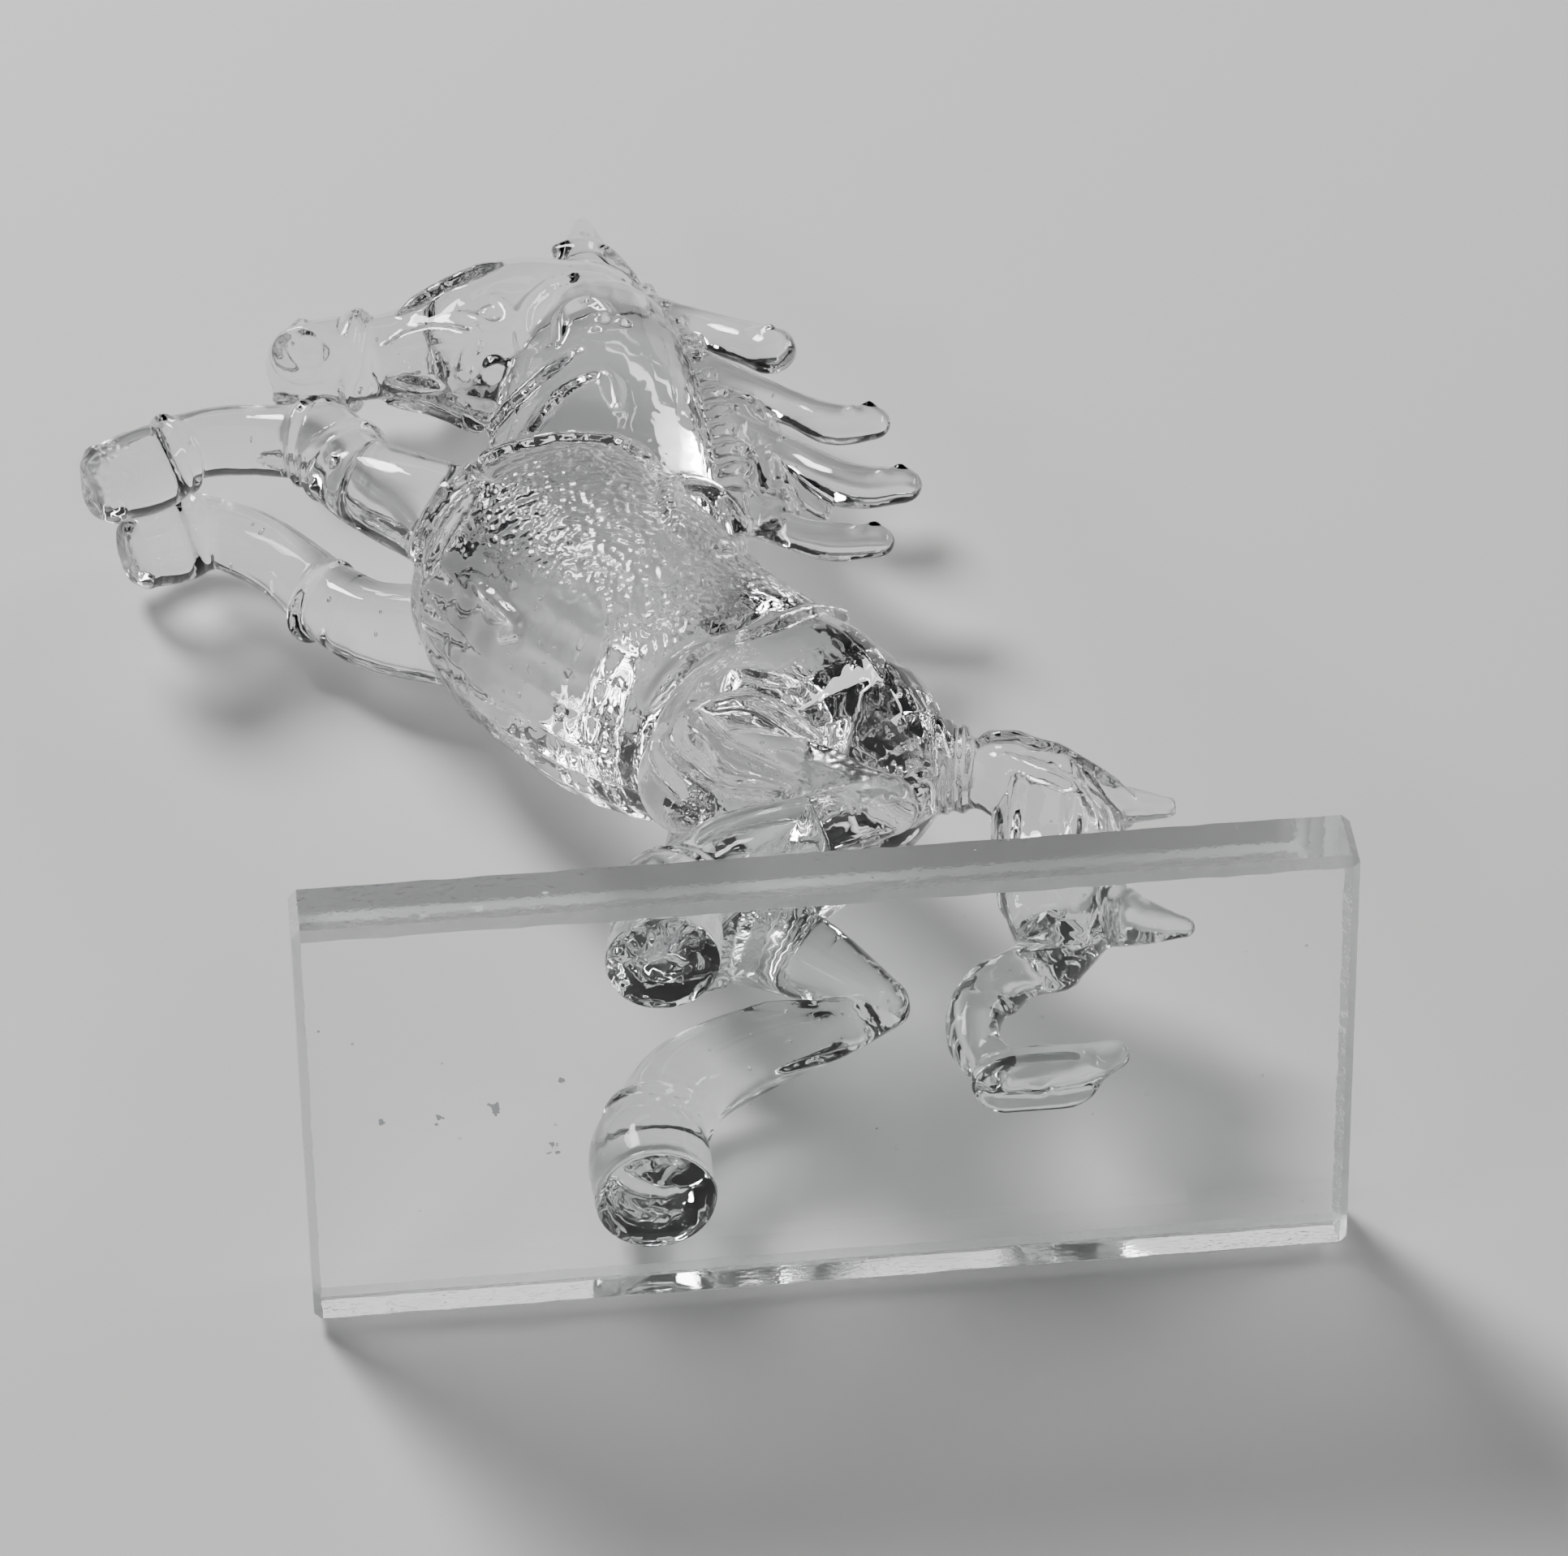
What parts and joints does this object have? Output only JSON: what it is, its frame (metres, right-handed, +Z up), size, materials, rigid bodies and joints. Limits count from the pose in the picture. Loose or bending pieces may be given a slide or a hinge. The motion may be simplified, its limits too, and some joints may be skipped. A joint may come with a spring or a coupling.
{
  "type": "glass horse statuette",
  "caption": "Rearing horse of clear lampworked glass, standing on its hind hooves and tail on an oblong slab of clear plate glass.",
  "frame": {"origin": "centre of the slab's underside, on the surface it stands on", "axes": "+Z up, the horse faces -X, its left side faces -Y, X runs along the slab's length"},
  "size_m": [0.1172, 0.047, 0.1519],
  "materials": {
    "slab_glass": "clear polished plate glass with finely ground chamfers",
    "horse_glass": "clear flame-polished glass, hammered over the barrel"
  },
  "bodies": {
    "root": {"base_slab": "slab_glass", "horse": "horse_glass"}
  },
  "joints": []
}
